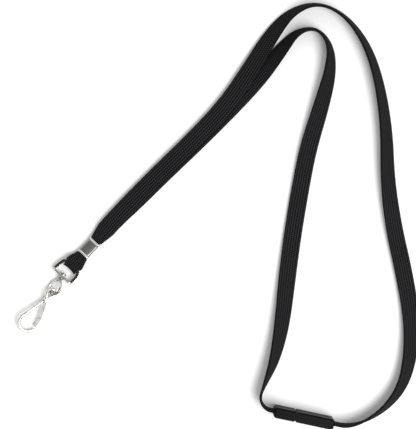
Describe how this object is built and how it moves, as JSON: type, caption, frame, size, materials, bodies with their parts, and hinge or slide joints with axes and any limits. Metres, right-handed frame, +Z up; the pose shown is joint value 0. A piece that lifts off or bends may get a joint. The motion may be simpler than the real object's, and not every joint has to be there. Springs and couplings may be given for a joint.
{
  "type": "lanyard badge holder",
  "caption": "Flat braided neck lanyard with a breakaway clasp, a metal crimp and a swivel wire hook, laid out flat.",
  "frame": {"origin": "centre of the crimp's underside, on the table the lanyard lies on", "axes": "+Z up from the table; +X to the right and +Y away in the view from above, with the hook at the lower left and the clasp at the lower right"},
  "size_m": [0.2231, 0.2359, 0.0126],
  "materials": {
    "braided_strap": "flat braid with fine lengthwise ribs, matt",
    "crimp_steel": "satin",
    "nickel_plate": "bright nickel",
    "clasp_plastic": "satin moulded"
  },
  "bodies": {
    "lanyard": {"strap_left_run": "braided_strap", "strap_right_run": "braided_strap", "strap_plug_tail": "braided_strap", "strap_socket_end": "braided_strap", "strap_hook_loop": "braided_strap", "crimp": "crimp_steel", "socket_upper_shell": "clasp_plastic", "socket_lower_shell": "clasp_plastic", "socket_lock_pin": "clasp_plastic", "socket_grip_jaws": "clasp_plastic"},
    "plug": {"plug_upper_shell": "clasp_plastic", "plug_lower_shell": "clasp_plastic", "plug_tongue": "clasp_plastic", "plug_lock_pin": "clasp_plastic", "strap_plug_end": "braided_strap"},
    "bail": {"bail": "nickel_plate"},
    "eye": {"swivel_eye": "nickel_plate"},
    "hook": {"hook_wire": "nickel_plate"},
    "gate": {"hook_gate_arm": "nickel_plate"}
  },
  "joints": [
    {"name": "clasp_release", "type": "slide", "parent": "lanyard", "child": "plug", "axis": [-0.9778, 0.2096, 0], "range_m": [0, 0.012], "deforming": ["strap_plug_tail", "socket_grip_jaws"]},
    {"name": "bail_swing", "type": "hinge", "parent": "lanyard", "child": "bail", "pos_m": [-0.00952, -0.01003, 0.00277], "axis": [0.7254, -0.6884, 0], "range_deg": [-60, 60]},
    {"name": "eye_spin", "type": "hinge", "parent": "bail", "child": "eye", "pos_m": [-0.01469, -0.01547, 0.00277], "axis": [-0.5592, -0.829, 0], "continuous": true},
    {"name": "hook_swing", "type": "hinge", "parent": "eye", "child": "hook", "pos_m": [-0.02104, -0.0249, 0.00277], "axis": [0.2745, -0.2042, 0.9396], "range_deg": [-30, 30]},
    {"name": "gate_spring", "type": "hinge", "parent": "hook", "child": "gate", "pos_m": [-0.01961, -0.02323, 0.00271], "axis": [-0.2745, 0.2042, -0.9396], "range_deg": [0, 12], "stiffness_Nm_per_rad": 0.02, "springref_deg": -2.86}
  ]
}
